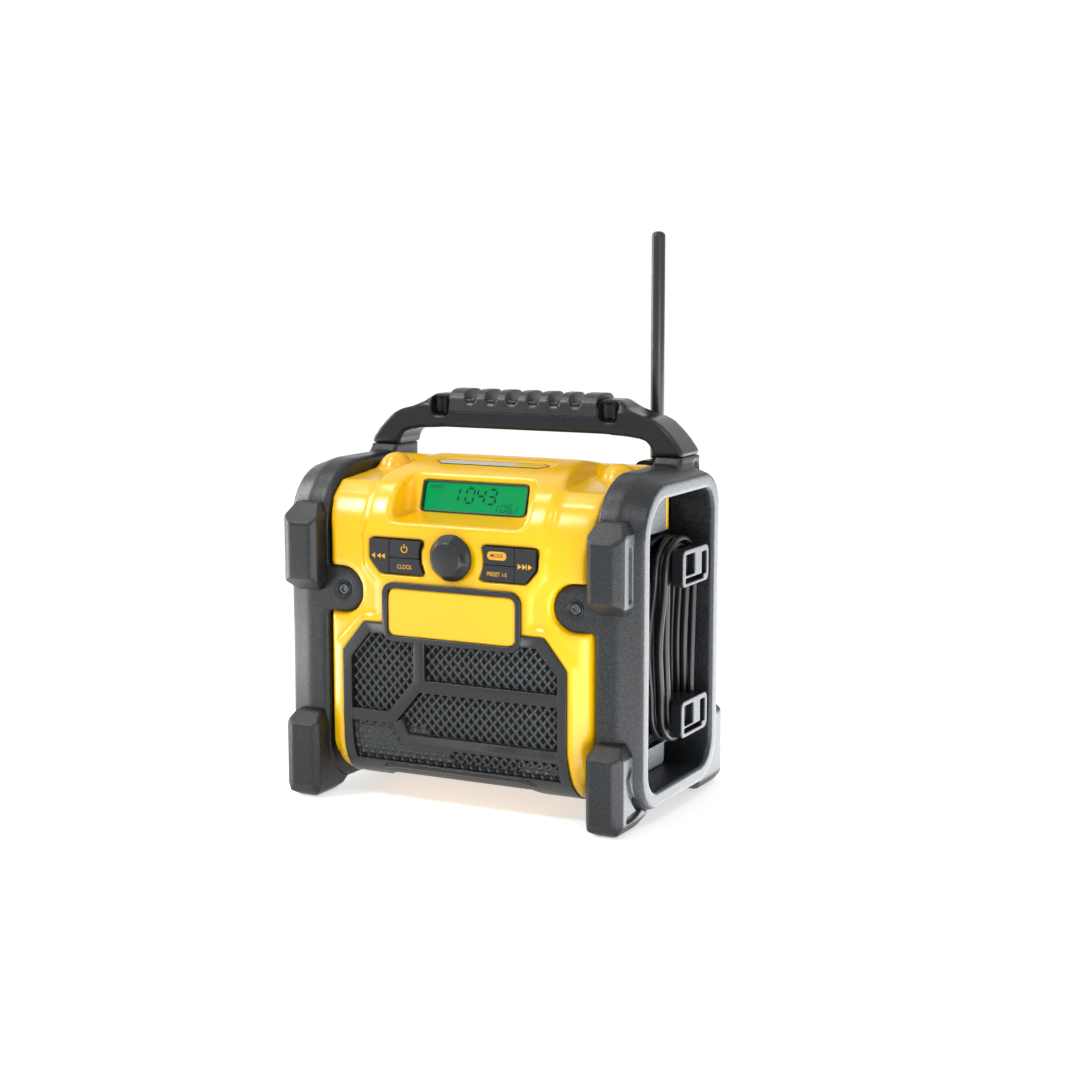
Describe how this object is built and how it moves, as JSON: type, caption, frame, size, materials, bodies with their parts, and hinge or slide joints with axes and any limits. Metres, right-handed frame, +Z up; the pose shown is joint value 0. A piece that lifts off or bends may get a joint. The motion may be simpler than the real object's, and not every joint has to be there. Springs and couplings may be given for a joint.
{
  "type": "jobsite radio",
  "caption": "Portable rugged radio: moulded body with speaker grille, display, keys and knob, caged between two side frames with rubber bumpers, under a carrying handle.",
  "frame": {"origin": "on the ground, midway between the side frames and midway between the front and rear bumpers", "axes": "+X to the right seen from the front, +Y from the front to the back, +Z up"},
  "size_m": [0.26, 0.171, 0.3775],
  "materials": {
    "yellow_plastic": "satin moulded yellow",
    "black_plastic": "satin moulded black",
    "silver_plate": "brushed",
    "window": "clear acrylic",
    "display": "backlit green",
    "key_rubber": "soft satin",
    "steel": "plain",
    "component": "satin",
    "circuit_board": "solder resist",
    "core_steel": "satin",
    "cone": "coated paper",
    "bumper_rubber": "fine grain",
    "grip_rubber": "soft matte",
    "cord_rubber": "satin"
  },
  "bodies": {
    "body": {"front_shell": "yellow_plastic", "rear_shell": "black_plastic", "grille": "black_plastic", "name_plate": "yellow_plastic", "top_plate": "silver_plate", "display_window": "window", "display_module": "display", "encoder_body": "component", "display_board": "circuit_board", "main_board": "circuit_board", "transformer": "core_steel", "speaker_left": "core_steel", "speaker_right": "core_steel", "speaker_cones": "cone", "left_frame": "black_plastic", "right_frame": "black_plastic", "left_front_upper_bumper": "bumper_rubber", "left_front_lower_bumper": "bumper_rubber", "left_rear_bumper": "bumper_rubber", "right_front_upper_bumper": "bumper_rubber", "right_front_lower_bumper": "bumper_rubber", "right_rear_bumper": "bumper_rubber", "handle": "black_plastic", "handle_grip": "grip_rubber", "handle_screws": "steel", "tab_screws": "steel", "cover_screws": "steel", "left_side_panel": "black_plastic", "right_side_panel": "black_plastic", "upper_cleat": "black_plastic", "lower_cleat": "black_plastic", "strain_relief": "cord_rubber", "lead_inlet": "cord_rubber", "lead_winding": "cord_rubber", "lead_tail": "cord_rubber", "plug": "cord_rubber", "aux_jack": "component", "antenna_base": "black_plastic", "antenna_pin": "steel", "battery_terminal": "component", "hinge_pin": "steel"},
    "seek_down": {"seek_down_key": "key_rubber"},
    "power": {"power_key": "key_rubber"},
    "clock": {"clock_key": "key_rubber"},
    "mode": {"mode_key": "key_rubber"},
    "preset": {"preset_key": "key_rubber"},
    "seek_up": {"seek_up_key": "key_rubber"},
    "knob_carrier": {"encoder_plunger": "steel"},
    "tuning_knob": {"knob": "key_rubber", "encoder_shaft": "steel"},
    "antenna": {"antenna_knuckle": "black_plastic", "antenna_mast": "cord_rubber"},
    "door": {"bay_door": "black_plastic"},
    "latch": {"door_latch": "key_rubber"}
  },
  "joints": [
    {"name": "seek_down_press", "type": "slide", "parent": "body", "child": "seek_down", "axis": [0, 1, 0], "range_m": [0, 0.001], "stiffness_N_per_m": 800, "springref_m": -0.0005},
    {"name": "power_press", "type": "slide", "parent": "body", "child": "power", "axis": [0, 1, 0], "range_m": [0, 0.001], "stiffness_N_per_m": 800, "springref_m": -0.0005},
    {"name": "clock_press", "type": "slide", "parent": "body", "child": "clock", "axis": [0, 1, 0], "range_m": [0, 0.001], "stiffness_N_per_m": 800, "springref_m": -0.0005},
    {"name": "mode_press", "type": "slide", "parent": "body", "child": "mode", "axis": [0, 1, 0], "range_m": [0, 0.001], "stiffness_N_per_m": 800, "springref_m": -0.0005},
    {"name": "preset_press", "type": "slide", "parent": "body", "child": "preset", "axis": [0, 1, 0], "range_m": [0, 0.001], "stiffness_N_per_m": 800, "springref_m": -0.0005},
    {"name": "seek_up_press", "type": "slide", "parent": "body", "child": "seek_up", "axis": [0, 1, 0], "range_m": [0, 0.001], "stiffness_N_per_m": 800, "springref_m": -0.0005},
    {"name": "knob_push", "type": "slide", "parent": "body", "child": "knob_carrier", "axis": [0, 1, 0], "range_m": [0, 0.001], "stiffness_N_per_m": 1000, "springref_m": -0.0005},
    {"name": "knob_turn", "type": "hinge", "parent": "knob_carrier", "child": "tuning_knob", "pos_m": [0, -0.076, 0.1695], "axis": [0, 1, 0], "continuous": true},
    {"name": "antenna_fold", "type": "hinge", "parent": "body", "child": "antenna", "pos_m": [0.079, 0.0709, 0.216], "axis": [0, 1, 0], "range_deg": [-90, 90]},
    {"name": "door_swing", "type": "hinge", "parent": "body", "child": "door", "pos_m": [0, 0.0588, 0.0388], "axis": [-1, 0, 0], "range_deg": [0, 100]},
    {"name": "latch_slide", "type": "slide", "parent": "door", "child": "latch", "axis": [0, 0, 1], "range_m": [0, 0.0022]}
  ]
}
